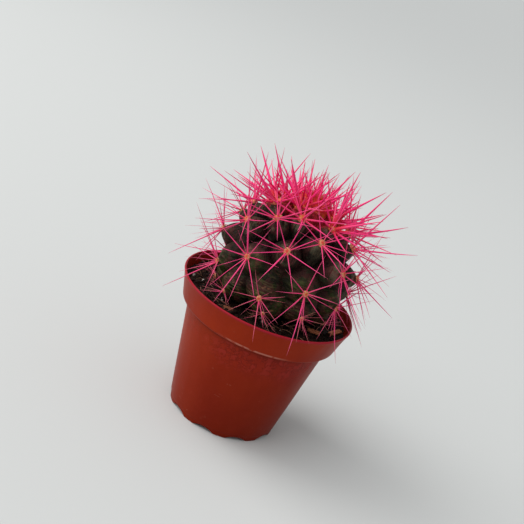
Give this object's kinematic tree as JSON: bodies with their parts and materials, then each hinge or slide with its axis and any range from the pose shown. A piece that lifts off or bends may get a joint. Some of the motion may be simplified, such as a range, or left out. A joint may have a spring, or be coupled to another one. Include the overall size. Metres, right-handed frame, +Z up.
{
  "type": "potted barrel cactus",
  "caption": "Young barrel cactus with spiral tubercles and dyed pink spines, growing in peat in a thin tapered plastic nursery pot with a wide collar and a scalloped foot.",
  "frame": {"origin": "centre of the pot's base, on the surface that it stands on", "axes": "+Z up along the pot's axis, -Y the front, the side that the picture shows"},
  "size_m": [0.1103, 0.1115, 0.1405],
  "materials": {
    "terracotta_plastic": "satin moulded plastic, terracotta red",
    "peat": "moist, crumbly and fibrous",
    "stem_skin": "waxy dark green plant skin",
    "dyed_spine": "satin, dyed hot pink",
    "areole_wool": "short felted wool",
    "bark": "rough broken bark",
    "dry_fibre": "dry plant fibre",
    "grit": "pale porous grit"
  },
  "bodies": {
    "root": {"pot": "terracotta_plastic", "soil": "peat", "cactus": "stem_skin", "bark_chip_1": "bark", "bark_chip_2": "bark", "bark_chip_3": "bark", "bark_chip_4": "bark", "bark_chip_5": "bark"}
  },
  "joints": []
}
